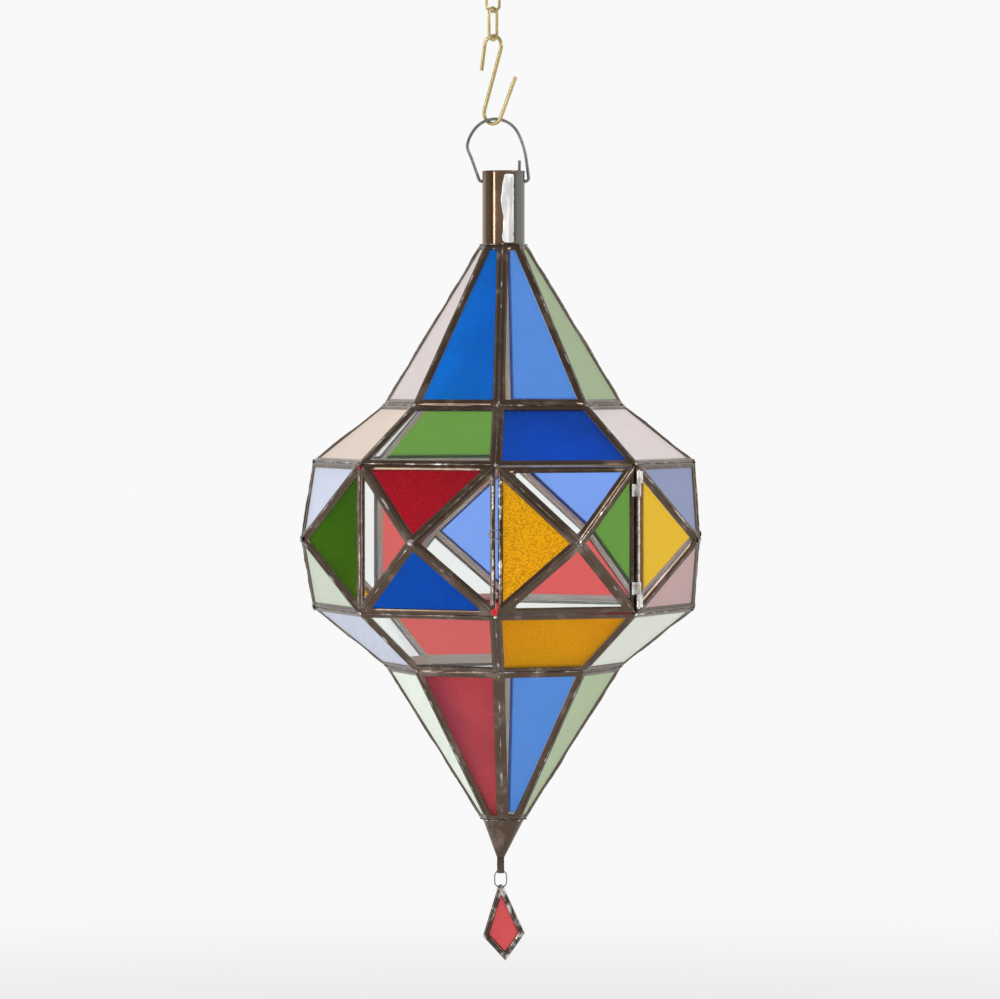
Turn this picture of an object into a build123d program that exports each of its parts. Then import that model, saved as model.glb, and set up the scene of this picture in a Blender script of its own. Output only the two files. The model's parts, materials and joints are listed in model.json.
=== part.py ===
from build123d import *
import os
from math import asin, cos, degrees, radians, sin, sqrt

# Hanging lantern of soldered tin cames and flat coloured panes, in millimetres, +Z up.
# The origin is the inside top of the upper chain link, where the lantern hangs.
# The front edge of the octagon faces -Y.

# Fits and cuts
running_gap = 0.25
glass_fit = 0.15
overrun = 6.0

# Chain, hook and bail
link_wire = 1.9
link_length = 22.0
link_width = 9.9
lower_link_turn = 55.0
link_slack = 0.5
hook_wire = 2.4
hook_slack = 0.4
hook_height = 54.7
hook_top_bend = 6.5
hook_base_bend = 6.9
hook_turn = -35.0
hook_top_tip = 16.0
hook_top_splay = 9.0
hook_base_tip = 27.0
hook_base_splay = 25.0
bail_wire = 1.9
bail_slack = 0.75
bail_rise = 38.8
bail_reach = 22.6
bail_right_shares = ((0.63, 0.34), (0.49, 0.66), (0.25, 0.89), (-0.29, 1.0))
bail_left_shares = ((-0.6, 0.94), (-0.82, 0.82), (-1.0, 0.57), (-0.84, 0.3))
bail_foot_bend = 2.0
bail_right_stand = 2.7
bail_left_stand = 1.7
bail_inset = 3.4
bail_right_stub = 13.0
bail_left_stub = 8.0
bail_hole_clearance = 0.35
bail_hole_drop = 6.4
lantern_offset = 6.6

# Body of the lantern
sides = 8
neck_radius = 13.3
neck_wall = 0.6
neck_length = 45.4
shoulder_radius = 75.0
belly_radius = 119.5
bulge_radius = 133.0
hip_radius = 74.0
upper_cone_height = 100.0
upper_band_height = 35.5
belly_rise = 47.5
belly_drop = 44.5
lower_band_height = 36.5
lower_cone_height = 96.0

# Cames and panes
came_face = 4.0
rear_step = 1.1
belly_side_face = 3.0
came_wall = 0.6
glass_thickness = 2.2

# Door, hinge and latch
door_gap = 1.5
knuckle_radius = 1.5
knuckle_length = 7.6
hinge_pin_wire = 1.4
hinge_pin_fit = 0.08
hinge_pin_end = 0.8
hinge_margin = 4.5
leaf_length = 4.5
leaf_thickness = 0.5
latch_height = 5.3
latch_wire = 0.9
latch_length = 7.4
latch_width = 6.2
latch_stand = 1.35
staple_wire = 0.7
staple_bend = 0.6
staple_margin = 0.4

# Tip, candle cup and drop
tip_radius = 12.8
tip_end_radius = 2.4
tip_length = 23.5
tip_wall = 0.6
tip_floor = 2.0
tip_offset = 1.8
cup_bore = 13.0
cup_wall = 0.5
cup_height = 12.0
tab_width = 4.4
tab_length = 10.2
tab_strip = 0.5
tab_slot_height = 3.2
ring_wire = 0.8
ring_width = 8.2
ring_length = 11.6
kite_top_width = 2.4
kite_width = 26.2
kite_shoulder_drop = 31.4
kite_length = 47.6
kite_lean = 3.9
drop_swing = 40.0
kite_face = 3.4
kite_eye = 2.5
kite_eye_margin = 0.5

# Sides of the lantern, anticlockwise from above, and the colour of each pane
side_angles = [360 / sides * (side - 1.5) for side in range(sides)]
door_side = 0
upper_cone_colours = ("clear", "pale_green", "amber", "blue", "red", "clear", "pale_pink", "blue")
upper_band_colours = ("blue", "pale_pink", "red", "pale_pink", "green", "clear", "peach", "clear")
belly_top_colours = ("clear", "slate", "clear", "blue", "amber", "green", "pale_blue", "red")
belly_right_colours = ("clear", "green", "amber", "clear", "red", "blue", "green", "clear")
belly_bottom_colours = ("clear", "mauve", "blue", "red", "clear", "amber", "pale_green", "blue")
belly_left_colours = ("amber", "clear", "red", "green", "blue", "clear", "clear", "clear")
lower_band_colours = ("amber", "pale_green", "amber", "clear", "red", "clear", "pale_blue", "clear")
lower_cone_colours = ("clear", "pale_green", "amber", "blue", "clear", "blue", "pale_green", "red")

# Heights along the chain of pieces, downwards from the origin
lower_link_top = 3 * link_wire - link_length + link_slack
hook_seat_height = lower_link_top - link_length + link_wire
hook_top_height = hook_seat_height + hook_slack + hook_wire / 2
hook_base_height = hook_top_height - hook_height
bail_top_height = hook_base_height + hook_wire / 2 + bail_slack + bail_wire / 2
bail_hole_height = bail_top_height - bail_rise
neck_top_height = bail_hole_height + bail_hole_drop
bulge_height = neck_top_height - neck_length - upper_cone_height - upper_band_height - belly_rise

# Heights of the rings of corners, from the level of the bulge
belly_top = belly_rise
shoulder = belly_top + upper_band_height
neck_foot = shoulder + upper_cone_height
belly_base = -belly_drop
hip = belly_base - lower_band_height
tip_top = hip - lower_cone_height
tip_end = tip_top - tip_length
tab_end = tip_end - tab_length

# The outer corners of the octagons under the neck and over the tip clear the round tubes there
half_side = radians(180 / sides)
neck_ring_radius = neck_radius / cos(half_side)
tip_ring_radius = tip_radius / cos(half_side)
came_depth = 2 * came_wall + 2 * glass_fit + glass_thickness

up = Vector(0, 0, 1)
body_place = Pos(lantern_offset, 0, bulge_height)


def swept(path, wire):
    return sweep(Plane(origin=path @ 0, z_dir=path % 0) * Circle(wire / 2), path=path)


def oval_ring(length, width, wire):
    path = SlotOverall(length - wire, width - wire).face().outer_wire()
    return swept(path, wire)


def chain_link(top, turn):
    # top is the height of the outside of the upper bend
    standing = Rot(90, 0, 0) * Rot(0, 0, 90) * oval_ring(link_length, link_width, link_wire)
    return Pos(0, 0, top - link_length / 2) * Rot(0, 0, turn) * standing


def s_hook():
    # Two round bends joined by the straight run that touches both from opposite sides
    both_bends = hook_top_bend + hook_base_bend
    cross = degrees(asin(both_bends / (hook_height - both_bends)))
    upper = Vector(0, hook_top_height - hook_top_bend)
    lower = Vector(0, hook_base_height + hook_base_bend)
    top_arc = CenterArc(upper, hook_top_bend, -cross, 180 - hook_top_splay + cross)
    base_arc = CenterArc(lower, hook_base_bend, 180 - cross, 180 - hook_base_splay + cross)
    top_tip = Line(top_arc @ 1, top_arc @ 1 + (top_arc % 1) * hook_top_tip)
    base_tip = Line(base_arc @ 1, base_arc @ 1 + (base_arc % 1) * hook_base_tip)
    middle = Line(top_arc @ 0, base_arc @ 0)
    across = Vector(cos(radians(hook_turn)), sin(radians(hook_turn)), 0)
    standing = Plane(origin=(0, 0, 0), x_dir=across, z_dir=across.cross(up))
    pieces = [standing * edge for edge in (top_tip, top_arc, middle, base_arc, base_tip)]
    return swept(Wire(pieces), hook_wire)


def bail():
    # Bent in one plane: right stub, right foot, the arch, left foot, left stub
    inner = neck_radius - bail_inset
    right = neck_radius + bail_right_stand
    left = neck_radius + bail_left_stand
    arch = [Vector(bail_reach * x, bail_rise * z) for x, z in bail_right_shares + bail_left_shares]
    right_points = [(inner, bail_right_stub), (inner, 0), (right, 0), arch[0]]
    left_points = [arch[-1], (-left, 0), (-inner, 0), (-inner, -bail_left_stub)]
    right_foot = FilletPolyline(*right_points, radius=bail_foot_bend)
    left_foot = FilletPolyline(*left_points, radius=bail_foot_bend)
    crown = Spline(*arch, tangents=[right_foot % 1, left_foot % 0])
    path = Wire([*right_foot.edges(), crown, *left_foot.edges()])
    return Pos(lantern_offset, 0, bail_hole_height) * swept(Plane.XZ * path, bail_wire)


def neck_tube():
    tube = Cylinder(neck_radius, neck_length, align=(Align.CENTER, Align.CENTER, Align.MIN))
    bore = Cylinder(neck_radius - neck_wall, 2 * neck_length)
    hole = Cylinder(bail_wire / 2 + bail_hole_clearance, 2 * neck_radius + overrun)
    holes = Pos(0, 0, neck_length - bail_hole_drop) * Rot(0, 90, 0) * hole
    return Pos(0, 0, neck_foot) * (tube - bore - holes)


def corner(radius, height, end):
    # End of a facet's edge on the side that faces +X: -1 is the left end seen from outside
    return Vector(radius * cos(half_side), end * radius * sin(half_side), height)


def inward(point, level):
    # Direction in which a facet's corner is set back: towards the centre, or level
    return Vector(-point.X, -point.Y, 0 if level else -point.Z)


def set_back(points, levels):
    normal = (points[1] - points[0]).cross(points[2] - points[1]).normalized()
    draws = [inward(point, level) for point, level in zip(points, levels)]
    return [point + draw * (-came_depth / normal.dot(draw)) for point, draw in zip(points, draws)]


def slab(front, back):
    # Block between a facet and the same facet set back, whose sides meet its neighbours' sides
    faces = [Face(Wire.make_polygon(front)), Face(Wire.make_polygon(back[::-1]))]
    ends = zip(front, front[1:] + front[:1], back, back[1:] + back[:1])
    faces += [Face(Wire.make_polygon([end, start, low, low_end])) for start, end, low, low_end in ends]
    return Solid(Shell(faces))


def trimmed(outline, foot, inside):
    kept = []
    for here, there in zip(outline, outline[1:] + outline[:1]):
        near = inside.dot(here - foot)
        far = inside.dot(there - foot)
        if near >= 0:
            kept.append(here)
        if near * far < 0:
            kept.append(here + (there - here) * (near / (near - far)))
    return kept


def inset(outline, distances):
    # Convex outline drawn in from each edge by that edge's distance
    drawn = outline
    for start, end, distance in zip(outline, outline[1:] + outline[:1], distances):
        along = (end - start).normalized()
        inside = Vector(-along.Y, along.X)
        drawn = trimmed(drawn, start + inside * distance, inside)
    return drawn


def prism(plane, outline, top, base):
    # Straight block on an outline between two depths below the plane
    face = plane.offset(-top) * Polygon(*[(point.X, point.Y) for point in outline], align=None)
    return extrude(face, amount=top - base)


def came_and_pane(points, levels, faces):
    # Folded channel round one pane, narrower behind it; faces are its widths in front, edge by edge
    back = set_back(points, levels)
    normal = (points[1] - points[0]).cross(points[2] - points[1]).normalized()
    plane = Plane(origin=points[0], x_dir=points[1] - points[0], z_dir=normal)
    outline = [plane.to_local_coords(point) for point in points]
    behind = [plane.to_local_coords(point) for point in back]
    leans = []
    for start, end, low in zip(outline, outline[1:] + outline[:1], behind):
        along = (end - start).normalized()
        leans.append(max(0, Vector(-along.Y, along.X).dot(low - start)))
    pocket = inset(outline, [lean + came_wall for lean in leans])
    glass = inset(outline, [lean + came_wall + glass_fit for lean in leans])
    came = slab(points, back)
    came -= prism(plane, inset(outline, faces), -overrun, came_depth / 2)
    rear_window = inset(outline, [face - rear_step for face in faces])
    came -= prism(plane, rear_window, came_depth / 2, came_depth + overrun)
    came -= prism(plane, pocket, came_wall, came_depth - came_wall)
    glass_top = came_wall + glass_fit
    return came, prism(plane, glass, glass_top, glass_top + glass_thickness)


def ring_facet(top_radius, top, base_radius, base, levels):
    points = [corner(base_radius, base, -1), corner(base_radius, base, 1)]
    points += [corner(top_radius, top, 1), corner(top_radius, top, -1)]
    return came_and_pane(points, levels, [came_face] * len(points))


def belly_facets(shrink):
    # Four triangles that rise to one peak: top, right, bottom and left; shrink draws them in
    peak = Vector(bulge_radius, 0, 0)
    ends = [corner(belly_radius, belly_top, 1), corner(belly_radius, belly_base, 1)]
    ends += [corner(belly_radius, belly_base, -1), corner(belly_radius, belly_top, -1)]
    top_right, base_right, base_left, top_left = [peak + (end - peak) * (1 - shrink) for end in ends]
    level = [False] * 3
    flat_faces = [came_face] * 3
    side_faces = [came_face, belly_side_face, came_face]
    return {
        "top": came_and_pane([peak, top_right, top_left], level, flat_faces),
        "right": came_and_pane([peak, base_right, top_right], level, side_faces),
        "bottom": came_and_pane([peak, base_left, base_right], level, flat_faces),
        "left": came_and_pane([peak, top_left, base_left], level, side_faces),
    }


def turned(shape, side):
    return Rot(0, 0, side_angles[side]) * shape


def side_edge(end):
    # Frame of a side triangle's upright edge: x along the facet away from it, y up, z outwards
    edge = corner(belly_radius, 0, end)
    along = (Vector(bulge_radius, 0, 0) - edge).normalized()
    outward = along.cross(up) * end * -1
    return Plane(origin=edge, x_dir=along, z_dir=outward)


def hinge_axis():
    # Point of the hinge line, clear of the door's facet and of its neighbour's
    edge = corner(belly_radius, 0, 1)
    radial = edge.normalized()
    lift = (knuckle_radius + running_gap) / radial.dot(side_edge(1).z_dir)
    return edge + radial * lift


def door_knuckle(base):
    # Strip rolled round the pin, with its leaf flat on the door's came
    along = side_edge(1).x_dir
    plane = Plane(origin=hinge_axis() + up * base, x_dir=along, z_dir=(0, 0, 1))
    low = -(knuckle_radius + running_gap)
    leaf_points = [(running_gap, low), (leaf_length, low)]
    leaf_points += [(leaf_length, low + leaf_thickness), (running_gap, low + leaf_thickness)]
    bore = Circle(hinge_pin_wire / 2 + hinge_pin_fit)
    section = Circle(knuckle_radius) + Polygon(*leaf_points, align=None) - bore
    return extrude(plane * section, amount=knuckle_length)


def frame_knuckle(base):
    edge = corner(belly_radius, 0, 1)
    return mirror(door_knuckle(base), about=Plane(origin=edge, z_dir=up.cross(edge)))


def hinge():
    # Frame and door knuckles at both ends of the edge, and the wire pin through all four
    pitch = knuckle_length + running_gap
    top = belly_top - hinge_margin - knuckle_length
    base = belly_base + hinge_margin
    frame = [frame_knuckle(top), frame_knuckle(base)]
    door = [door_knuckle(top - pitch), door_knuckle(base + pitch)]
    pin_base = base - hinge_pin_end
    pin_length = top + knuckle_length + hinge_pin_end - pin_base
    pin = Cylinder(hinge_pin_wire / 2, pin_length, align=(Align.CENTER, Align.CENTER, Align.MIN))
    return frame, door, Pos(*(hinge_axis() + up * pin_base)) * pin


def latch_place():
    # Frame of the latch on the door's free edge, with its origin on the line the ring turns about
    edge = side_edge(-1)
    spread = latch_wire + staple_wire + 2 * running_gap
    pivot = door_gap + belly_side_face - staple_margin - spread / 2
    origin = edge.origin + edge.x_dir * pivot + up * latch_height + edge.z_dir * latch_stand
    return Plane(origin=origin, x_dir=edge.x_dir, z_dir=edge.z_dir), spread


def latch():
    # Wire ring over the gap, and the staple on the door's bar that it turns in
    plane, spread = latch_place()
    rise = plane.x_dir.dot(corner(belly_radius, 0, -1).normalized())
    tilt = 2 * degrees(asin(max(0, rise)))
    ring = oval_ring(latch_length, latch_width, latch_wire)
    ring = plane * Rot(0, tilt, 0) * Pos((latch_wire - latch_length) / 2, 0, 0) * ring
    crown = (latch_wire + staple_wire) / 2 + running_gap
    legs = [(-spread / 2, -latch_stand), (-spread / 2, crown)]
    legs += [(spread / 2, crown), (spread / 2, -latch_stand)]
    path = Wire(FilletPolyline(*legs, radius=staple_bend).edges())
    level = Plane(origin=plane.origin, x_dir=plane.x_dir, z_dir=plane.x_dir.cross(plane.z_dir))
    return ring, swept(level * path, staple_wire)


def tip_shell(inner):
    # Cone drawn off to one side at its lower end; the inner one stops short of the closed end
    wall = tip_wall if inner else 0
    floor = tip_floor if inner else 0
    share = 1 - floor / tip_length
    fall = (tip_radius - tip_end_radius) * share
    top_face = Plane(origin=(0, 0, tip_top)) * Circle(tip_radius - wall)
    low_place = Plane(origin=(-tip_offset * share, 0, tip_end + floor))
    return loft([top_face, low_place * Circle(tip_radius - wall - fall)], ruled=True)


def tip_cone():
    return tip_shell(False) - tip_shell(True)


def cup_place():
    # Level at which the cup's foot meets the inside of the tip, and how far the tip has moved there
    radius = cup_bore / 2 + cup_wall + glass_fit
    share = (tip_radius - tip_wall - radius) / (tip_radius - tip_end_radius)
    return Pos(-tip_offset * share, 0, tip_top - tip_length * share)


def candle_cup():
    seat = (Align.CENTER, Align.CENTER, Align.MIN)
    cup = Cylinder(cup_bore / 2 + cup_wall, cup_height, align=seat)
    bore = Pos(0, 0, cup_wall) * Cylinder(cup_bore / 2, cup_height, align=seat)
    return cup_place() * (cup - bore)


def ring_sag(width):
    # How far the ring's round end falls away over the width of what it passes through
    bend = (ring_width - ring_wire) / 2
    return bend - sqrt(bend**2 - (width / 2) ** 2)


def drop_tab():
    # Strip folded up round the ring, its two ends soldered together under the tip
    lean = ring_sag(tab_width) * sin(radians(drop_swing))
    gap = ring_wire + 2 * running_gap + 2 * lean
    depth = gap + 2 * tab_strip
    slot_base = tab_end + tab_strip
    block = Box(tab_width, depth, tab_length, align=(Align.CENTER, Align.CENTER, Align.MIN))
    block = fillet(block.edges().filter_by(Axis.X).group_by(Axis.Z)[0], gap / 2)
    slot_height = tab_slot_height + ring_sag(tab_width)
    slot = Box(tab_width + overrun, gap, slot_height, align=(Align.CENTER, Align.CENTER, Align.MIN))
    slot = fillet(slot.edges().filter_by(Axis.X), gap / 2 - running_gap)
    return Pos(-tip_offset, 0, tab_end) * block - Pos(-tip_offset, 0, slot_base) * slot


def ring_top():
    # Centreline of the ring's upper bend, which lies on the edges of the tab's fold
    return tab_end + tab_strip + running_gap + ring_sag(tab_width) + ring_wire / 2


def pendant_ring():
    middle = ring_top() - (ring_length - ring_wire) / 2
    standing = Rot(90, 0, 0) * Rot(0, 0, 90) * oval_ring(ring_length, ring_width, ring_wire)
    return Pos(-tip_offset, 0, middle) * standing


def kite_place():
    # The drop's own frame: origin on the ring's lower wire, z towards the front, y up, leaning
    lowest = ring_top() - ring_length + ring_wire
    return Pos(-tip_offset, 0, lowest) * Rot(0, -kite_lean, 0) * Rot(90, 0, 0)


def kite():
    # Came and pane of the drop, hung on the ring by an eye through the top of the came
    crown = 2 * kite_eye_margin + kite_eye
    eye_drop = kite_eye_margin + kite_eye / 2
    eye_width = kite_top_width + (kite_width - kite_top_width) * eye_drop / kite_shoulder_drop
    lean_rise = eye_width / 2 * sin(radians(kite_lean))
    eye_height = (ring_wire - kite_eye) / 2 + running_gap + ring_sag(eye_width) + lean_rise
    top = eye_height + eye_drop
    wide = Vector(kite_width / 2, top - kite_shoulder_drop)
    outline = [Vector(0, top - kite_length), wide, Vector(kite_top_width / 2, top)]
    outline += [Vector(-kite_top_width / 2, top), Vector(-wide.X, wide.Y)]
    walls = [came_wall, came_wall, crown, came_wall, came_wall]
    faces = [kite_face, kite_face, crown + came_wall, kite_face, kite_face]
    front = Plane.XY.offset(came_depth / 2)
    came = prism(front, outline, 0, came_depth)
    came -= prism(front, inset(outline, faces), -overrun, came_depth + overrun)
    came -= prism(front, inset(outline, walls), came_wall, came_depth - came_wall)
    came -= Pos(0, eye_height, 0) * Rot(0, 90, 0) * Cylinder(kite_eye / 2, kite_width)
    glass_top = came_wall + glass_fit
    glass = inset(outline, [wall + glass_fit for wall in walls])
    pane = prism(front, glass, glass_top, glass_top + glass_thickness)
    return kite_place() * came, kite_place() * pane


def sorted_by_colour(band, panes, colours):
    # One node for each colour of a band
    return {
        f"{band}_{colour}_panes": [pane for pane, own in zip(panes, colours) if own == colour]
        for colour in dict.fromkeys(colours)
    }


nodes = {}

ring_bands = {
    "upper_cone": (neck_ring_radius, neck_foot, shoulder_radius, shoulder, upper_cone_colours),
    "upper_band": (shoulder_radius, shoulder, belly_radius, belly_top, upper_band_colours),
    "lower_band": (belly_radius, belly_base, hip_radius, hip, lower_band_colours),
    "lower_cone": (hip_radius, hip, tip_ring_radius, tip_top, lower_cone_colours),
}
end_levels = {"upper_cone": [False, False, True, True], "lower_cone": [True, True, False, False]}
for band, (top_radius, top, base_radius, base, colours) in ring_bands.items():
    levels = end_levels.get(band, [False] * 4)
    came, pane = ring_facet(top_radius, top, base_radius, base, levels)
    nodes[f"{band}_cames"] = [turned(came, side) for side in range(sides)]
    panes = [turned(pane, side) for side in range(sides)]
    nodes.update(sorted_by_colour(band, panes, colours))

belly_colours = {
    "top": belly_top_colours,
    "right": belly_right_colours,
    "bottom": belly_bottom_colours,
    "left": belly_left_colours,
}
fixed_sides = [side for side in range(sides) if side != door_side]
belly_cames = []
belly_panes = []
pane_colours = []
for place, (came, pane) in belly_facets(0).items():
    belly_cames += [turned(came, side) for side in fixed_sides]
    belly_panes += [turned(pane, side) for side in fixed_sides]
    pane_colours += [belly_colours[place][side] for side in fixed_sides]
nodes["middle_cames"] = belly_cames
nodes.update(sorted_by_colour("middle", belly_panes, pane_colours))

door_reach = (Vector(bulge_radius, 0, 0) - corner(belly_radius, 0, 1)).length
door_facets = belly_facets(door_gap / door_reach)
nodes["door_cames"] = [turned(came, door_side) for came, pane in door_facets.values()]
door_names = {"top": "top", "right": "hinge_side", "bottom": "bottom", "left": "latch_side"}
for place, (came, pane) in door_facets.items():
    nodes[f"door_{door_names[place]}_pane"] = [turned(pane, door_side)]

frame_knuckles, door_knuckles, hinge_pin = hinge()
latch_ring, latch_staple = latch()
nodes["hinge_frame_knuckles"] = [turned(knuckle, door_side) for knuckle in frame_knuckles]
nodes["hinge_door_knuckles"] = [turned(knuckle, door_side) for knuckle in door_knuckles]
nodes["hinge_pin"] = [turned(hinge_pin, door_side)]
nodes["latch_ring"] = [turned(latch_ring, door_side)]
nodes["latch_staple"] = [turned(latch_staple, door_side)]

drop_came, drop_pane = kite()
nodes["neck_tube"] = [neck_tube()]
nodes["tip_cone"] = [tip_cone()]
nodes["candle_cup"] = [candle_cup()]
nodes["drop_tab"] = [drop_tab()]
nodes["pendant_ring"] = [pendant_ring()]
nodes["drop_came"] = [drop_came]
nodes["drop_pane"] = [drop_pane]
nodes = {name: [body_place * piece for piece in pieces] for name, pieces in nodes.items()}

nodes["upper_chain_link"] = [chain_link(link_wire, 0)]
nodes["lower_chain_link"] = [chain_link(lower_link_top, lower_link_turn)]
nodes["s_hook"] = [s_hook()]
nodes["bail"] = [bail()]

os.makedirs("parts", exist_ok=True)
for name, pieces in nodes.items():
    export_step(Compound([solid for piece in pieces for solid in piece.solids()]), f"parts/{name}.step")

# Points that the joints and mounts turn on
door_turn = Rot(0, 0, side_angles[door_side])
datums = {
    "bulge": body_place,
    "hinge line": body_place * door_turn * Pos(*hinge_axis()),
    "latch line": body_place * door_turn * Pos(*latch_place()[0].origin),
    "ring in tab": body_place * Pos(-tip_offset, 0, ring_top()),
    "drop on ring": body_place * kite_place(),
    "cup foot": body_place * cup_place(),
    "bail holes": Pos(lantern_offset, 0, bail_hole_height),
    "bail on hook": Pos(0, 0, bail_top_height),
    "hook on link": Pos(0, 0, hook_seat_height),
    "link on link": Pos(0, 0, lower_link_top - link_wire),
}
for name, place in datums.items():
    print(name, [round(value, 3) for value in place.position])
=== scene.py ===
import json
import math

import bmesh
import bpy
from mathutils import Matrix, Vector, noise


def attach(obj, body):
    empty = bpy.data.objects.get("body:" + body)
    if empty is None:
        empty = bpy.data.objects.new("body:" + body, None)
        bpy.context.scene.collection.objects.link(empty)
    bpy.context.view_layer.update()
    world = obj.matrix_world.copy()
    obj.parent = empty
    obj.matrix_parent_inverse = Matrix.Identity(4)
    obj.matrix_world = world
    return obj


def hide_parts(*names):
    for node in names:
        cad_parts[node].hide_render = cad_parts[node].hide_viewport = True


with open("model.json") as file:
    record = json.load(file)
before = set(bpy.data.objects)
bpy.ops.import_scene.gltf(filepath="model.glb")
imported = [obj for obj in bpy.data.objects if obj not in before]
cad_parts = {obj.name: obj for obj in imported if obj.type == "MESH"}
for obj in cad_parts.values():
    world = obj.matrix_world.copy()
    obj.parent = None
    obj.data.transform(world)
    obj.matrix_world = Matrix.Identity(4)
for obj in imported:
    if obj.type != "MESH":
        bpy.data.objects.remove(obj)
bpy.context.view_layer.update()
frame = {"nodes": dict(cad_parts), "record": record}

nodes = frame["nodes"]
milli = 0.001
full = 255
print("frame loaded:", len(nodes), "nodes")


def linear(*values):  # display colour 0-255 to scene colour
    shares = [value / full for value in values]
    return [v / 12.92 if v <= 0.04045 else ((v + 0.055) / 1.055) ** 2.4 for v in shares] + [1.0]


class Socket:
    def __init__(self, tree, link=None):
        self.tree = tree
        self.link = link

    def make(self, kind, inputs=None, output=0, **settings):
        node = self.tree.nodes.new("ShaderNode" + kind)
        for key, value in settings.items():
            setattr(node, key, value)
        for key, value in (inputs or {}).items():
            if isinstance(value, Socket):
                self.tree.links.new(value.link, node.inputs[key])
            else:
                node.inputs[key].default_value = value
        return Socket(self.tree, node.outputs[output])

    def maths(self, operation, first, second=0.0):
        return self.make("Math", {0: first, 1: second}, operation=operation)

    def __add__(self, other):
        return self.maths("ADD", self, other)

    def __radd__(self, other):
        return self.maths("ADD", other, self)

    def __sub__(self, other):
        return self.maths("SUBTRACT", self, other)

    def __rsub__(self, other):
        return self.maths("SUBTRACT", other, self)

    def __mul__(self, other):
        return self.maths("MULTIPLY", self, other)

    def __rmul__(self, other):
        return self.maths("MULTIPLY", other, self)

    def axis(self, name):
        return self.make("SeparateXYZ", {0: self}, name)

    def stretched(self, *shares):
        return self.make("VectorMath", {0: self, 1: shares}, operation="MULTIPLY")

    def step(self, low, high):  # smooth 0 to 1 between two values
        inputs = {0: self, 1: low, 2: high, 3: 0.0, 4: 1.0}
        return self.make("MapRange", inputs, interpolation_type="SMOOTHSTEP")

    def between(self, first, second):  # colour from first at 0 to second at 1
        return self.make("Mix", {0: self, 6: first, 7: second}, 2, data_type="RGBA")

    def spot(self, scale, detail=2.0, rough=0.5, warp=0.0):  # noise of a position
        inputs = {"Vector": self, "Scale": scale, "Detail": detail, "Roughness": rough, "Distortion": warp}
        return self.make("TexNoise", inputs)

    def cells(self, scale, soft):  # smooth dimples of a position
        inputs = {"Vector": self, "Scale": scale, "Smoothness": soft}
        return self.make("TexVoronoi", inputs, feature="SMOOTH_F1")

    def dents(self, strength, depth):  # height to normal
        return self.make("Bump", {"Strength": strength, "Distance": depth, "Height": self})


def newMaterial(name):
    material = bpy.data.materials.new(name)
    material.use_nodes = True
    tree = material.node_tree
    shader = tree.nodes["Principled BSDF"]
    place = Socket(tree).make("TexCoord", output="Object")
    return material, shader, place


def feed(shader, **inputs):
    for name, value in inputs.items():
        socket = shader.inputs[name.replace("_", " ")]
        if isinstance(value, Socket):
            value.tree.links.new(value.link, socket)
        else:
            socket.default_value = value


def paint(material, *names):
    for name in names:
        data = nodes[name].data
        data.materials.clear()
        data.materials.append(material)


# Metals
metals = {
    "tin_patina": {
        "dark": linear(94, 79, 67), "light": linear(146, 130, 120), "patch": 60, "cover": (0.49, 0.8),
        "shine": (0.15, 0.28), "grain": 900, "depth": 0.00003, "metal": 1.0,
        "axis": 0.0066, "inside": linear(212, 209, 201), "insideMetal": 0.2,
    },
    "neck_tin": {
        "dark": linear(140, 114, 96), "light": linear(164, 134, 112), "patch": 40, "cover": (0.45, 0.75),
        "shine": (0.12, 0.2), "grain": 300, "depth": 0.00004, "metal": 1.0,
        # side bands: a grey tone on the right of the tube, and painted shade, a darker brown band on the
        # left
        "axis": 0.0066, "greyAndShadedFlanks": (
            {"tone": linear(116, 115, 108), "from": (0.52, 0.6), "to": (1.9, 2.3)},
            {"tone": linear(90, 73, 60), "from": (-1.05, -0.85), "to": (-0.47, -0.4)},
        ),
    },
    "solder": {
        "dark": linear(196, 192, 186), "light": linear(248, 247, 244), "patch": 160, "cover": (0.35, 0.6),
        "shine": (0.16, 0.3), "grain": 700, "depth": 0.0001, "metal": 0.75,
    },
    "lump": {
        "dark": linear(112, 102, 94), "light": linear(238, 235, 230), "patch": 260, "cover": (0.43, 0.63),
        "shine": (0.16, 0.3), "grain": 700, "depth": 0.0001, "metal": 0.75,
    },
    # light patches on the drop's bars: partly silvery tin, partly painted highlights
    "dropTinAndPaintedHighlight": {
        "dark": linear(84, 71, 62), "light": linear(216, 212, 208), "patch": 75, "cover": (0.47, 0.62),
        "shine": (0.15, 0.28), "grain": 900, "depth": 0.00003, "metal": 0.9,
    },
    "runSolder": {
        "dark": linear(214, 213, 210), "light": linear(255, 255, 253), "patch": 300, "cover": (0.4, 0.58),
        "shine": (0.14, 0.26), "grain": 500, "depth": 0.00012, "metal": 0.2, "streak": 0.12,
    },
    "seam": {
        "dark": linear(104, 90, 79), "light": linear(214, 209, 204), "patch": 90, "cover": (0.5, 0.7),
        "shine": (0.16, 0.3), "grain": 800, "depth": 0.00006, "metal": 0.9,
    },
    "steel_wire": {
        "dark": linear(120, 119, 114), "light": linear(146, 145, 140), "patch": 60, "cover": (0.4, 0.65),
        "shine": (0.3, 0.38), "grain": 160, "depth": 0.000002, "metal": 0.7,
    },
    "brass": {
        "dark": linear(190, 170, 116), "light": linear(212, 194, 144), "patch": 40, "cover": (0.4, 0.66),
        "shine": (0.2, 0.28), "grain": 160, "depth": 0.000002, "metal": 0.85,
    },
    "cup_tin": {
        "dark": linear(150, 148, 142), "light": linear(186, 183, 176), "patch": 140, "cover": (0.4, 0.65),
        "shine": (0.35, 0.5), "grain": 900, "depth": 0.00003, "metal": 0.9,
    },
}
surface = {"cloud": (4.0, 0.6, 0.4), "grain": 3.0, "mean": 0.5, "grainShine": 0.12, "bump": 0.5,
           "turned": (-0.006, -0.002)}


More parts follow.
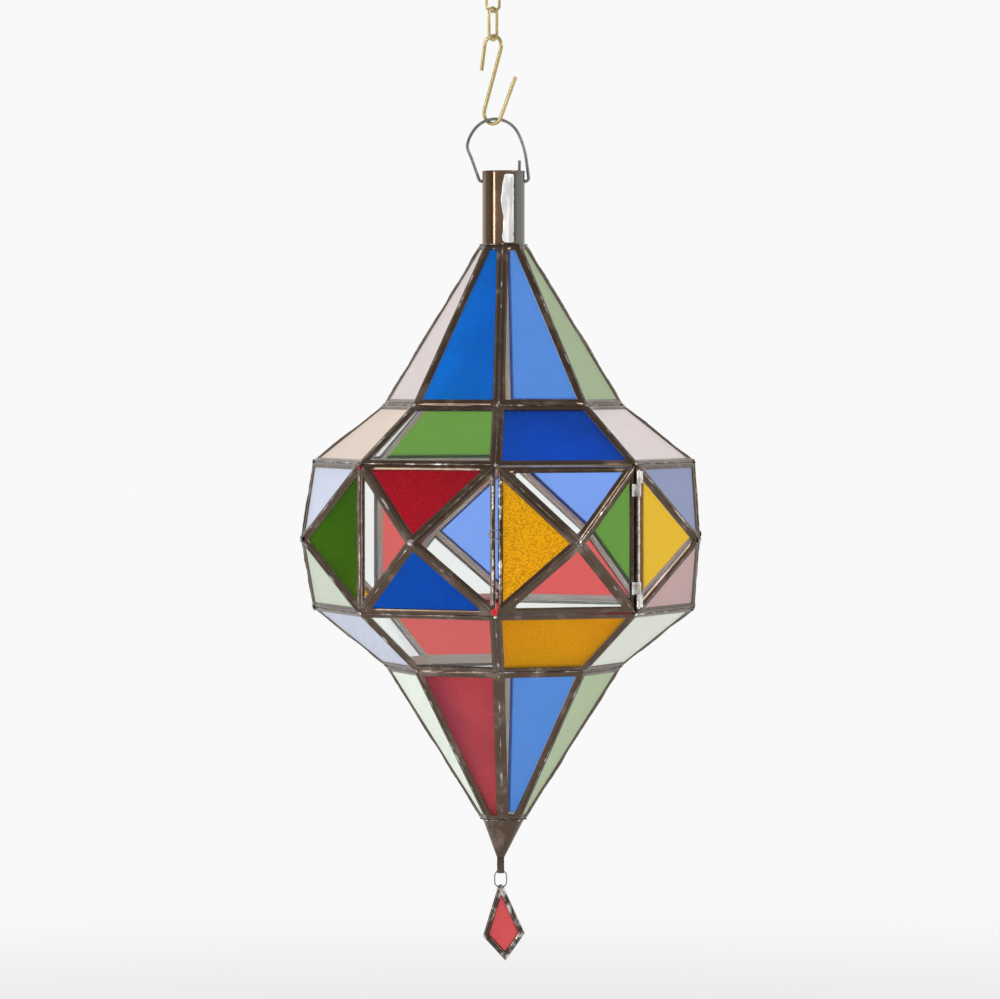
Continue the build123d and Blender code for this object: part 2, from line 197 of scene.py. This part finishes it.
def metalMaterial(name, look):
    material, shader, place = newMaterial(name)
    along = place.stretched(1, 1, look.get("streak", 1))
    patch = along.spot(look["patch"], *surface["cloud"]).step(*look["cover"])
    grain = along.spot(look["grain"], surface["grain"])
    low, high = look["shine"]
    shine = patch * (high - low) + low + (grain - surface["mean"]) * surface["grainShine"]
    colour = patch.between(look["dark"], look["light"])
    for flank in look.get("greyAndShadedFlanks", ()):  # a grey tone on the right of a tube and painted shade, a darker brown band, on its left; angles from the front
        turn = place.maths("ARCTAN2", place.axis("X") - look["axis"], 0.0 - place.axis("Y"))
        share = turn.step(*flank["from"]) * (1.0 - turn.step(*flank["to"]))
        colour = share.between(colour, flank["tone"])
    metal = look["metal"]
    if "inside" in look:  # bare tin on the faces turned to the candle
        spoke = place.make("VectorMath", {0: place, 1: (look["axis"], 0, 0)}, operation="SUBTRACT")
        normal = place.make("TexCoord", output="Normal")
        spread = {0: spoke.stretched(1, 1, 0), 1: normal}
        facing = place.make("VectorMath", spread, "Value", operation="DOT_PRODUCT")
        inside = 1.0 - facing.step(*surface["turned"])
        colour = inside.between(colour, look["inside"])
        metal = inside * (look["insideMetal"] - metal) + metal
    feed(shader, Base_Color=colour, Metallic=metal, Roughness=shine)
    feed(shader, Normal=grain.dents(surface["bump"], look["depth"]))
    return material


made = {name: metalMaterial(name, look) for name, look in metals.items()}
print("metals made")

# Glass: deep sheets in front, lighter sheets behind
rolled = {"rough": 0.75, "cell": 90, "depth": 0.0002, "soft": 1.0, "tone": 0.26, "through": 1.0,
          "bend": 1.22, "seeds": 0.55, "paintedEdgeShade": 0.3}
hammered = {"rough": 0.6, "soft": 0.4, "through": 1.0, "bend": 1.22, "hammer": True, "paintedEdgeShade": 0.35}
thin = {"rough": 0.4, "cell": 60, "depth": 0.0001, "soft": 1.0, "tone": 0.04, "through": 0.45,
        "bend": 1.4, "paintedEdgeShade": 0.6}
# glow: painted glow, the front panes give out light of their own colour though no lamp is in them
panes = {
    "clear": {"colour": linear(250, 252, 251), "rough": 0.0, "cell": 30, "depth": 0.00003, "soft": 1.0,
              "tone": 0.02, "through": 0.985, "bend": 1.2},
    "blue": {"colour": linear(0, 120, 255), "far": linear(130, 172, 250), "glow": 0.03, **rolled},
    "coneBlue": {"colour": linear(0, 150, 255), "far": linear(92, 166, 250), "glow": 0.04, **rolled,
                 "through": 0.8},
    "red": {"colour": linear(240, 40, 62), "far": linear(228, 94, 92), "glow": 0.01, **rolled},
    "coneRed": {"colour": linear(238, 100, 106), "far": linear(230, 94, 92), "glow": 0.01, **rolled},
    "green": {"colour": linear(94, 160, 0), "far": linear(104, 166, 36), **rolled},
    "amber": {"colour": linear(255, 196, 0), "far": linear(255, 214, 0), "glow": 0.03, **rolled,
              "through": 0.86},
    "redHammered": {"colour": linear(246, 0, 62), "far": linear(230, 92, 90), "cell": 760, "depth": 0.0003,
                    "tone": 0.4, **hammered},
    "amberHammered": {"colour": linear(255, 192, 0), "cell": 860, "depth": 0.0006, "tone": 0.45,
                      "glow": 0.17, **hammered, "through": 0.66},
    "redDrop": {"colour": linear(229, 92, 94), **{**rolled, "rough": 0.3}},
    "pale_pink": {"colour": linear(228, 219, 218), "glow": 0.08, **thin},
    "peach": {"colour": linear(232, 216, 202), "glow": 0.1, **thin},
    "pale_green": {"colour": linear(224, 228, 219), "glow": 0.16, **thin},
    "moss": {"colour": linear(222, 232, 216), "far": linear(178, 200, 156), "split": "X", "glow": 0.08,
             **thin},
    "lowMoss": {"colour": linear(238, 244, 234), "far": linear(206, 226, 184), "split": "X", "glow": 0.14,
                **thin},
    "pale_blue": {"colour": linear(215, 222, 239), "glow": 0.09, **thin},
    "slate": {"colour": linear(148, 160, 200), "glow": 0.06, **thin},
    "mauve": {"colour": linear(208, 176, 174), "glow": 0.08, **thin},
}
sheet = {"ream": (18, 3.0, 0.5, 0.8), "reamShade": (0.35, 0.7), "reamRough": 0.04, "seeds": 620,
         "seedShade": (0.38, 0.62), "front": (-0.07, -0.05), "hammerShade": (0.2, 0.75), "edge": 0.009,
         "edgeShade": (0.5, 1.0), "edgeRays": 6, "behind": (-0.005, 0.02), "bump": 0.6, "mean": 0.5}


def darker(colour, share):
    return [value * share for value in colour[:3]] + [1.0]


def glassMaterial(name, look):
    material, shader, place = newMaterial("glass_" + name)
    depth = place.axis("Y")
    ream = place.spot(*sheet["ream"])  # slow streaks of the melt
    height = place.cells(look["cell"], look["soft"])
    deeper = darker(look["colour"], 1 - look["tone"])
    seeds = look.get("seeds", 0.0)
    specks = place.spot(sheet["seeds"]).step(*sheet["seedShade"])
    shade = ream.step(*sheet["reamShade"]) * (1 - seeds) + specks * seeds
    if "hammer" in look:  # only the front sheets
        front = 1.0 - depth.step(*sheet["front"])
        shade = height.step(*sheet["hammerShade"]) * front
        height = height * front
    colour = shade.between(look["colour"], deeper)
    if "paintedEdgeShade" in look:  # painted shade: a soft dark edge on the glass beside the strips, from ambient occlusion
        free = place.make("AmbientOcclusion", {"Distance": sheet["edge"]}, "AO", samples=sheet["edgeRays"])
        rear = place.make("NewGeometry", output="Backfacing")
        opened = place.maths("MAXIMUM", free.step(*sheet["edgeShade"]), rear)
        colour = opened.between(darker(look["colour"], look["paintedEdgeShade"]), colour)
    # painted glow: the front panes give out light in their own colour, and no lamp is there
    light = colour
    if "far" in look:  # the other sheet of that colour, behind or to the right
        behind = place.axis(look.get("split", "Y")).step(*sheet["behind"])
        light = behind.between(colour, linear(0, 0, 0))
        colour = behind.between(colour, look["far"])
    feed(shader, Base_Color=colour, Emission_Color=light, Normal=height.dents(sheet["bump"], look["depth"]))
    if look["rough"]:
        feed(shader, Roughness=look["rough"] + (ream - sheet["mean"]) * sheet["reamRough"])
    else:
        feed(shader, Roughness=0.0)
    feed(shader, Transmission_Weight=look["through"], IOR=look["bend"])
    feed(shader, Emission_Strength=look.get("glow", 0.0))
    return material


for name, look in panes.items():
    made["glass_" + name] = glassMaterial(name, look)
print("glass made")

for entry in frame["record"]["subparts"]:
    paint(made[entry["material_slot"]], entry["node"])
paint(made["glass_redHammered"], "middle_red_panes")
paint(made["glass_amberHammered"], "door_latch_side_pane")
paint(made["glass_redDrop"], "drop_pane")
paint(made["glass_coneBlue"], "upper_cone_blue_panes", "lower_cone_blue_panes")
paint(made["glass_coneRed"], "upper_cone_red_panes", "lower_cone_red_panes")
paint(made["glass_moss"], "upper_cone_pale_green_panes", "middle_pale_green_panes")
paint(made["glass_lowMoss"], "lower_cone_pale_green_panes")

# Rounded edges of the small folded pieces
folds = {"names": ["drop_came", "drop_tab", "hinge_frame_knuckles", "hinge_door_knuckles"],
         "merge": 0.00001, "round": 0.00035, "steps": 3, "angle": 30}
for name in folds["names"]:
    piece = nodes[name]
    weld = piece.modifiers.new("weld", "WELD")
    weld.merge_threshold = folds["merge"]
    bevel = piece.modifiers.new("round", "BEVEL")
    bevel.width = folds["round"]
    bevel.segments = folds["steps"]
    bevel.limit_method = "ANGLE"
    bevel.angle_limit = math.radians(folds["angle"])
    piece.modifiers.new("normals", "WEIGHTED_NORMAL").keep_sharp = False

# Body of the lantern, in millimetres about its axis at the level of the bulge
body = {
    "axis": Vector((6.6, 0, -346.9)), "sides": 8, "peak": 133.0,
    "neck": (14.396, 183.0), "shoulder": (75.0, 83.0), "bellyTop": (119.5, 47.5),
    "bellyBase": (119.5, -44.5), "hip": (74.0, -81.0), "tip": (13.855, -177.0),
}
strip = {"face": 4.0, "sideFace": 3.0, "rear": 1.1, "wall": 0.6, "depth": 3.7, "sag": 0.75,
         "steps": 6, "pitch": 6.0, "wave": 0.1, "waveLength": 9.0, "waveMean": 0.5, "smooth": 40}
door = {"side": 0, "gap": 1.5}


def corner(ring, side, end):  # end -1 is the left end of that side, seen from outside
    radius, height = body[ring]
    angle = math.tau / body["sides"] * (side - 1.5 + end / 2)
    return Vector((radius * math.cos(angle), radius * math.sin(angle), height))


def peak(side):
    angle = math.tau / body["sides"] * (side - 1.5)
    return Vector((body["peak"] * math.cos(angle), body["peak"] * math.sin(angle), 0))


def bandFacet(low, high, side):
    return [corner(low, side, -1), corner(low, side, 1), corner(high, side, 1), corner(high, side, -1)]


def bellyFacets(side, shrink=0.0):
    top = peak(side)
    ends = [corner(ring, side, end) for ring, end in
            (("bellyTop", 1), ("bellyBase", 1), ("bellyBase", -1), ("bellyTop", -1))]
    ends = [top.lerp(point, 1 - shrink) for point in ends]
    wide, narrow = [strip["face"]] * 3, [strip["face"], strip["sideFace"], strip["face"]]
    order = ((0, 3, wide), (1, 0, narrow), (2, 1, wide), (3, 2, narrow))
    return [([top, ends[first], ends[second]], faces) for first, second, faces in order]


def insetLoop(outline, distances):  # flat convex outline drawn in from each edge
    lines = []
    for start, stop, distance in zip(outline, outline[1:] + outline[:1], distances):
        along = (stop - start).normalized()
        lines.append((start + Vector((-along.y, along.x)) * distance, along))
    loop = []
    for (foot, along), (nextFoot, nextAlong) in zip(lines[-1:] + lines[:-1], lines):
        reach = (nextFoot - foot).cross(nextAlong) / along.cross(nextAlong)
        loop.append(foot + along * reach)
    return loop


def stripLoops(points, levels, faces):  # loops round one pane: rounded front, pocket, rear lip
    normal = (points[1] - points[0]).cross(points[2] - points[1]).normalized()
    side = (points[1] - points[0]).normalized()
    across = normal.cross(side)
    flat = [Vector(((p - points[0]).dot(side), (p - points[0]).dot(across))) for p in points]
    draws = [Vector((-p.x, -p.y, 0 if level else -p.z)) for p, level in zip(points, levels)]
    behind = [p - d * (strip["depth"] / normal.dot(d)) for p, d in zip(points, draws)]
    leans = []
    for i, start in enumerate(flat):
        along = (flat[(i + 1) % len(flat)] - start).normalized()
        shift = Vector(((behind[i] - points[0]).dot(side), (behind[i] - points[0]).dot(across))) - start
        leans.append(max(0, Vector((-along.y, along.x)).dot(shift)))
    rear = [face - strip["rear"] for face in faces]
    pocket = [lean + strip["wall"] for lean in leans]
    low, deep = strip["wall"], strip["depth"]
    levelsDown = []
    for step in range(strip["steps"] + 1):
        share = step / strip["steps"]
        levelsDown.append(([face * share for face in faces], strip["sag"] * (2 * share - 1) ** 2))
    levelsDown += [(faces, low), (pocket, low), (pocket, deep - low), (rear, deep - low), (rear, deep)]
    loops = [
        [points[0] + side * p.x + across * p.y - normal * down for p in insetLoop(flat, inset)]
        for inset, down in levelsDown
    ]
    return loops + [behind], normal


def addLoops(store, loops, normal, wavy):  # skin over loops of corners, the last joined to the first
    outline = loops[0]
    ends = outline[1:] + outline[:1]
    cuts = [max(2, round((stop - start).length / strip["pitch"])) for start, stop in zip(outline, ends)]
    first = len(store["points"])
    for depth, loop in enumerate(loops):
        for i, cut in enumerate(cuts):
            for step in range(cut):
                p = loop[i].lerp(loop[(i + 1) % len(loop)], step / cut)
                if depth in wavy:  # hand-made unevenness of the front
                    wave = noise.noise(p / strip["waveLength"]) - strip["waveMean"]
                    p = p + normal * strip["wave"] * wave
                store["points"].append(p)
    count = sum(cuts)
    for depth in range(len(loops)):
        below = (depth + 1) % len(loops)
        for i in range(count):
            ahead = (i + 1) % count
            store["faces"].append([first + depth * count + i, first + depth * count + ahead,
                                   first + below * count + ahead, first + below * count + i])


def addStrip(store, points, levels, faces):
    loops, normal = stripLoops(points, levels, faces)
    addLoops(store, loops, normal, range(1, strip["steps"]))


def newPiece(name, store, material, rides, smooth=strip["smooth"]):  # mesh in lantern millimetres
    mesh = bpy.data.meshes.new(name)
    mesh.from_pydata([(p + body["axis"]) * milli for p in store["points"]], [], store["faces"])
    mesh.shade_smooth()
    mesh.set_sharp_from_angle(angle=math.radians(smooth))
    mesh.materials.append(material)
    piece = bpy.data.objects.new(name, mesh)
    bpy.context.scene.collection.objects.link(piece)
    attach(piece, rides)
    return piece


bands = {
    "upper_cone_cames": ("shoulder", "neck", [False, False, True, True]),
    "upper_band_cames": ("bellyTop", "shoulder", [False] * 4),
    "lower_band_cames": ("hip", "bellyBase", [False] * 4),
    "lower_cone_cames": ("tip", "hip", [True, True, False, False]),
}
for node, (low, high, levels) in bands.items():
    store = {"points": [], "faces": []}
    for side in range(body["sides"]):
        addStrip(store, bandFacet(low, high, side), levels, [strip["face"]] * 4)
    bandStrips = newPiece(node + "_strips", store, made["tin_patina"], "lantern")
    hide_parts(node)

store = {"points": [], "faces": []}
for side in range(body["sides"]):
    if side != door["side"]:
        for points, faces in bellyFacets(side):
            addStrip(store, points, [False] * 3, faces)
middleStrips = newPiece("middle_cames_strips", store, made["tin_patina"], "lantern")
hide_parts("middle_cames")

doorEnd = corner("bellyTop", door["side"], 1)
reach = (peak(door["side"]) - Vector((doorEnd.x, doorEnd.y, 0))).length
door["shrink"] = door["gap"] / reach
store = {"points": [], "faces": []}
for points, faces in bellyFacets(door["side"], door["shrink"]):
    addStrip(store, points, [False] * 3, faces)
doorStrips = newPiece("door_cames_strips", store, made["tin_patina"], "door")
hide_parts("door_cames")
print("strips made")

# Solder along the seams and at the corners
bead = {"radius": 0.6, "ring": 7, "pitch": 2.2, "patch": 14.0, "fine": 3.1, "fineShare": 0.4, "mean": 0.62,
        "swing": 0.9, "least": 0.12, "most": 1.25, "end": 0.2, "spread": 1.2, "sink": 0.45, "smooth": 80}
blobs = {"detail": 2, "flat": 0.42, "rough": 0.6, "corner": 1.75, "small": 1.0, "peak": 2.1,
         "sink": 0.4, "lobes": 1.7, "byDoor": 0.6, "mean": 0.95, "vary": 0.5, "varyLength": 7}
splash = {"inset": 1.5, "sink": -0.35, "runs": ((0.08, 0.36), (0.52, 0.93)), "door": 1.0, "frame": 0.62}


def addBead(store, start, stop, radius=None):  # uneven run of solder that fades in and out of the seam
    along = (stop - start).normalized()
    outward = (start + stop).normalized()
    outward = (outward - along * outward.dot(along)).normalized()
    side = along.cross(outward)
    count = max(3, round((stop - start).length / bead["pitch"]))
    first = len(store["points"])
    for step in range(count + 1):
        p = start.lerp(stop, step / count)
        wave = noise.noise(p / bead["patch"]) + bead["fineShare"] * noise.noise(p / bead["fine"])
        swell = max(bead["least"], min(bead["most"], bead["mean"] + bead["swing"] * wave))
        size = (radius or bead["radius"]) * swell
        if step in (0, count):
            size *= bead["end"]
        middle = p - outward * bead["sink"]
        for k in range(bead["ring"]):
            angle = math.tau * k / bead["ring"]
            rise, breadth = math.cos(angle) * size, math.sin(angle) * size * bead["spread"]
            store["points"].append(middle + outward * rise + side * breadth)
    for step in range(count):
        for k in range(bead["ring"]):
            ahead = (k + 1) % bead["ring"]
            low, high = first + step * bead["ring"], first + (step + 1) * bead["ring"]
            store["faces"].append([low + k, low + ahead, high + ahead, high + k])
    store["faces"].append([first + k for k in range(bead["ring"])][::-1])
    store["faces"].append([first + count * bead["ring"] + k for k in range(bead["ring"])])


def addBlob(store, place, outward, size):  # flattened lump with an uneven edge
    ball = bmesh.new()
    bmesh.ops.create_icosphere(ball, subdivisions=blobs["detail"], radius=1.0)
    turn = outward.to_track_quat("Z", "Y").to_matrix()
    first = len(store["points"])
    for vertex in ball.verts:
        p = vertex.co.copy()
        swell = 1 + blobs["rough"] * noise.noise(p * blobs["lobes"] + place)
        p = Vector((p.x * swell, p.y * swell, p.z * blobs["flat"])) * size
        store["points"].append(place + turn @ p - outward * blobs["sink"])
    for face in ball.faces:
        store["faces"].append([first + vertex.index for vertex in face.verts])
    ball.free()


def edgeOf(side, end, shrink=0.0):  # upright edge of a middle facet, from top to base
    return [peak(side).lerp(corner(ring, side, end), 1 - shrink) for ring in ("bellyTop", "bellyBase")]


def addSplashes(store, side, end, shrink, width):  # runs of solder on an upright strip, clear of the latch
    top, base = edgeOf(side, end, shrink)
    inward = (peak(side) - (top + base) / 2).normalized()
    upright = (base - top).normalized()
    outward = inward.cross(upright) * end
    shift = inward * splash["inset"] - outward * splash["sink"]
    for start, stop in splash["runs"]:
        addBead(store, top.lerp(base, start) + shift, top.lerp(base, stop) + shift, width)


seams = {"points": [], "faces": []}
lumps = {"points": [], "faces": []}
ladder = ["neck", "shoulder", "bellyTop", "bellyBase", "hip", "tip"]
for side in range(body["sides"]):
    for ring in ladder:
        atDoor = side == door["side"] and ring in ("bellyTop", "bellyBase")
        if not atDoor:
            addBead(seams, corner(ring, side, -1), corner(ring, side, 1))
        spot = corner(ring, side, 1)
        nearDoor = ring in ("bellyTop", "bellyBase") and side in (door["side"], body["sides"] - 1)
        share = blobs["mean"] + blobs["vary"] * noise.noise(spot / blobs["varyLength"])
        size = blobs["corner"] * (blobs["byDoor"] if nearDoor else share)
        size = blobs["small"] if ring in ("neck", "tip") else size
        addBlob(lumps, spot, spot.normalized(), size)
    for high, low in zip(ladder, ladder[1:]):
        if high == "bellyTop" and side in (door["side"], body["sides"] - 1):
            continue
        addBead(seams, corner(high, side, 1), corner(low, side, 1))
    if side != door["side"]:
        for ring in ("bellyTop", "bellyBase"):
            for end in (-1, 1):
                addBead(seams, peak(side), corner(ring, side, end))
        addBlob(lumps, peak(side), peak(side).normalized(), blobs["peak"])
addSplashes(lumps, body["sides"] - 1, 1, 0.0, splash["frame"])
newPiece("seamSolder", seams, made["seam"], "lantern", bead["smooth"])
newPiece("cornerSolder", lumps, made["lump"], "lantern", bead["smooth"])

seams = {"points": [], "faces": []}
lumps = {"points": [], "faces": []}
top = peak(door["side"])
for ring in ("bellyTop", "bellyBase"):
    for end in (-1, 1):
        addBead(seams, top, top.lerp(corner(ring, door["side"], end), 1 - door["shrink"]))
addBlob(lumps, top, top.normalized(), blobs["peak"])
addSplashes(lumps, door["side"], -1, door["shrink"], splash["door"])
newPiece("doorSeamSolder", seams, made["seam"], "door", bead["smooth"])
newPiece("doorPeakSolder", lumps, made["lump"], "door", bead["smooth"])
print("solder made")

# Neck: rolled rim and the run of solder over its seam
neck = {
    "radius": 13.3, "top": 228.4, "rim": 0.55, "rimSink": 0.15, "rimDrop": 0.5, "rimRing": 8, "rimSteps": 64,
    "left": ((183.2, 2.0), (186.4, -2.0), (194.3, 0.5), (199.7, 1.0), (205.0, -3.5), (210.5, -6.0),
             (221.3, 0.0), (226.6, 4.0)),
    "right": 32.0, "across": 16, "pitch": 0.8, "thick": 0.5, "sink": 0.12, "fade": 1.6, "hump": 4,
    "wobble": 2.5, "wobbleLength": 2.5, "wobbleRow": 3, "ripple": 0.42, "rippleTurn": 3, "rippleLength": 8,
    "rippleRow": 7, "near": 1e-6, "smooth": 80,
}


def tubePoint(degrees, radius, height):  # angle from the front towards +X
    angle = math.radians(degrees)
    return Vector((math.sin(angle) * radius, -math.cos(angle) * radius, height))


store = {"points": [], "faces": []}
for step in range(neck["rimSteps"]):
    for k in range(neck["rimRing"]):
        angle = math.tau * k / neck["rimRing"]
        radius = neck["radius"] - neck["rimSink"] + neck["rim"] * math.cos(angle)
        height = neck["top"] - neck["rimDrop"] + neck["rim"] * math.sin(angle)
        store["points"].append(tubePoint(360 * step / neck["rimSteps"], radius, height))
for step in range(neck["rimSteps"]):
    for k in range(neck["rimRing"]):
        low, high = step * neck["rimRing"], (step + 1) % neck["rimSteps"] * neck["rimRing"]
        ahead = (k + 1) % neck["rimRing"]
        store["faces"].append([low + k, high + k, high + ahead, low + ahead])
newPiece("neckRim", store, made["neck_tin"], "lantern", neck["smooth"])

store = {"points": [], "faces": []}
foot, head = neck["left"][0][0], neck["left"][-1][0]
rows = round((head - foot) / neck["pitch"])
for row in range(rows + 1):
    height = foot + (head - foot) * row / rows
    spans = zip(neck["left"], neck["left"][1:])
    (low, start), (high, stop) = next(span for span in spans if span[1][0] >= height - neck["near"])
    left = start + (stop - start) * (height - low) / (high - low)
    wobble = noise.noise(Vector((0, neck["wobbleRow"], height / neck["wobbleLength"])))
    right = neck["right"] + neck["wobble"] * wobble
    end = min(1.0, (height - foot) / neck["fade"], (head - height) / neck["fade"])
    for column in range(neck["across"] + 1):
        share = column / neck["across"]
        turn = left + (right - left) * share
        hump = (1 - (2 * share - 1) ** neck["hump"]) * end
        spot = Vector((turn / neck["rippleTurn"], neck["rippleRow"], height / neck["rippleLength"]))
        ripple = neck["ripple"] * noise.noise(spot) * hump
        radius = neck["radius"] - neck["sink"] + neck["thick"] * hump + ripple
        store["points"].append(tubePoint(turn, radius, height))
for row in range(rows):
    for column in range(neck["across"]):
        low, high = row * (neck["across"] + 1) + column, (row + 1) * (neck["across"] + 1) + column
        store["faces"].append([low, low + 1, high + 1, high])
newPiece("neckSolder", store, made["runSolder"], "lantern", neck["smooth"])
print("neck dressed")

# Half-round bars of the drop, in its own leaning plane
drop = {"hang": Vector((-1.8, 0, -219.625)), "lean": 3.9, "half": 1.85, "rise": 1.15, "steps": 10,
        "sink": 0.1, "smooth": 50,
        "outline": ((0, -45.82), (13.1, -29.62), (1.2, 1.78), (-1.2, 1.78), (-13.1, -29.62)),
        "faces": (3.4, 3.4, 4.1, 3.4, 3.4)}


def dropPoint(p, forward):
    lean = math.radians(drop["lean"])
    return drop["hang"] + Vector((p.x * math.cos(lean) - p.y * math.sin(lean), -forward,
                                  p.x * math.sin(lean) + p.y * math.cos(lean)))


store = {"points": [], "faces": []}
outline = [Vector(point) for point in drop["outline"]]
for face in (1, -1):
    loops = []
    for step in range(drop["steps"] + 1):
        share = step / drop["steps"]
        rise = drop["half"] - drop["sink"] + drop["rise"] * math.sqrt(max(0.0, 1 - (2 * share - 1) ** 2))
        drawn = insetLoop(outline, [width * share for width in drop["faces"]])
        loops.append([dropPoint(p, face * rise) for p in drawn])
    if face < 0:
        loops = loops[::-1]
    addLoops(store, loops, Vector((0, -face, 0)), range(1, drop["steps"]))
newPiece("dropBars", store, made["dropTinAndPaintedHighlight"], "drop", drop["smooth"])

# Dabs of red enamel beside two corners
dabs = {
    "triangle": {"at": corner("bellyBase", 7, 1) + Vector((-0.7, -0.2, 3.4)),
                 "shape": ((0, 2.4), (-2.4, -2.0), (2.4, -2.0)), "cuts": 5, "round": 0.35},
    "dot": {"at": corner("bellyTop", 7, -1) + Vector((0, 0, -2.8)),
            "shape": ((0, 1.2), (-1.2, 0), (0, -1.2), (1.2, 0)), "cuts": 5, "round": 0.9},
}
dab = {"bright": linear(214, 8, 30), "deep": linear(176, 10, 26), "cloud": 700, "cover": (0.3, 0.7),
       "grain": 300, "shine": 0.2, "shineSwing": 0.2, "roundTo": 0.8, "smooth": 60,
       "levels": ((1.0, -0.5), (1.0, 0.3), (0.8, 0.6), (0.4, 0.75))}  # share of the outline, rise
enamel, shader, place = newMaterial("enamel")
feed(shader, Base_Color=place.spot(dab["cloud"]).step(*dab["cover"]).between(dab["bright"], dab["deep"]),
     Roughness=place.spot(dab["grain"]) * dab["shineSwing"] + dab["shine"])
store = {"points": [], "faces": []}
for spec in dabs.values():
    outward = Vector((spec["at"].x, spec["at"].y, 0)).normalized()
    side = Vector((-outward.y, outward.x, 0))
    corners = [Vector(point) for point in spec["shape"]]
    reach = max(point.length for point in corners)
    rim = []
    for start, stop in zip(corners, corners[1:] + corners[:1]):
        for step in range(spec["cuts"]):
            p = start.lerp(stop, step / spec["cuts"])
            rim.append(p.lerp(p.normalized() * reach * dab["roundTo"], spec["round"]))
    first = len(store["points"])
    for share, rise in dab["levels"]:
        middle = spec["at"] + outward * rise
        store["points"] += [middle + side * p.x * share + Vector((0, 0, p.y * share)) for p in rim]
    last = len(dab["levels"]) - 1
    for level in range(last):
        for i in range(len(rim)):
            low, high = first + level * len(rim), first + (level + 1) * len(rim)
            ahead = (i + 1) % len(rim)
            store["faces"].append([low + i, low + ahead, high + ahead, high + i])
    store["faces"].append([first + last * len(rim) + i for i in range(len(rim))])
newPiece("enamelDabs", store, enamel, "lantern", dab["smooth"])
print("drop and dabs made")

# Floor, sky and lights
floor = {"height": -0.78, "radius": 2.6, "segments": 96, "glow": 0.945, "fade": (0.5, 2.0),
         "cloud": 6, "tones": (linear(231, 231, 231), linear(235, 235, 235)), "rough": 0.9}
mesh = bpy.data.meshes.new("floor")
ring = [
    (floor["radius"] * math.cos(i * math.tau / floor["segments"]),
     floor["radius"] * math.sin(i * math.tau / floor["segments"]), floor["height"])
    for i in range(floor["segments"])
]
mesh.from_pydata(ring, [], [list(range(len(ring)))])
ground = bpy.data.objects.new("floor", mesh)
bpy.context.scene.collection.objects.link(ground)
material, shader, place = newMaterial("floor")
tree = material.node_tree
rays = Socket(tree)
distance = rays.make("VectorMath", {0: place.stretched(1, 1, 0)}, "Value", operation="LENGTH")
glow = rays.make("Emission", {"Color": [floor["glow"]] * 3 + [1.0]})
seen = rays.make("LightPath", output="Is Camera Ray")
through = rays.make("LightPath", output="Is Transmission Ray")
feed(shader, Base_Color=place.spot(floor["cloud"]).between(*floor["tones"]), Roughness=floor["rough"],
     Specular_IOR_Level=0.0)
away = distance.step(*floor["fade"]) * rays.maths("MAXIMUM", seen, through)  # fades into the backdrop
mixed = rays.make("MixShader", {0: away, 1: Socket(tree, shader.outputs[0]), 2: glow})
tree.links.new(mixed.link, tree.nodes["Material Output"].inputs[0])
mesh.materials.append(material)

room = {"white": [floor["glow"]] * 3 + [1.0], "soft": [0.82] * 3 + [1.0], "front": [0.44, 0.42, 0.4, 1.0],
        "height": (0.4, 0.8), "turn": (-0.55, 0.0)}
world = bpy.data.worlds.new("studio")
bpy.context.scene.world = world
world.use_nodes = True
tree = world.node_tree
sky = Socket(tree)
direction = sky.make("TexCoord", output="Generated")
ahead, above = direction.axis("Y"), direction.axis("Z")
level = 1.0 - sky.maths("ABSOLUTE", above).step(*room["height"])
seen = sky.make("LightPath", output="Is Camera Ray")
through = sky.make("LightPath", output="Is Transmission Ray")
glossy = sky.make("LightPath", output="Is Glossy Ray")
mirrored = (ahead.step(*room["turn"]) * level).between(room["front"], room["white"])
shade = sky.maths("MAXIMUM", seen, through).between(glossy.between(room["soft"], mirrored), room["white"])
backdrop = sky.make("Background", {"Color": shade})
tree.links.new(backdrop.link, tree.nodes["World Output"].inputs[0])

lights = {
    "stripLeft": {"at": (-1.25, -1.05, -0.25), "aim": (0, 0, -0.3), "wide": 0.24, "tall": 0.9, "power": 5},
    "boxRight": {"at": (1.5, -0.9, 0.5), "aim": (0, 0, -0.3), "wide": 0.5, "tall": 0.5, "power": 7},
    "boxTop": {"at": (-0.3, -0.4, 1.4), "aim": (0, 0, -0.3), "wide": 0.8, "tall": 0.8, "power": 6,
               "gloss": False},
}
for name, spec in lights.items():
    data = bpy.data.lights.new(name, "AREA")
    data.shape = "RECTANGLE"
    data.size = spec["wide"]
    data.size_y = spec["tall"]
    data.energy = spec["power"]
    lamp = bpy.data.objects.new(name, data)
    bpy.context.scene.collection.objects.link(lamp)
    lamp.location = spec["at"]
    lamp.visible_glossy = spec.get("gloss", True)
    lamp.rotation_euler = (Vector(spec["aim"]) - Vector(spec["at"])).to_track_quat("-Z", "Y").to_euler()
print("stage and lights set")

# Camera
shot = {"aim": (0.0044, 0.0, -0.3235), "distance": 3.1, "turn": 2.4, "rise": 0.0785, "lens": 178.6,
        "sensor": 36}
data = bpy.data.cameras.new("camera")
data.sensor_width = shot["sensor"]
data.lens = shot["lens"]
camera = bpy.data.objects.new("camera", data)
bpy.context.scene.collection.objects.link(camera)
aim = Vector(shot["aim"])
turn = math.radians(shot["turn"])
back = Vector((math.sin(turn), -math.cos(turn), 0)) * shot["distance"]
camera.location = aim + back + Vector((0, 0, shot["rise"]))
camera.rotation_euler = (aim - camera.location).to_track_quat("-Z", "Y").to_euler()
bpy.context.scene.camera = camera
bpy.context.scene.view_settings.view_transform = "Standard"

print("scene ready")
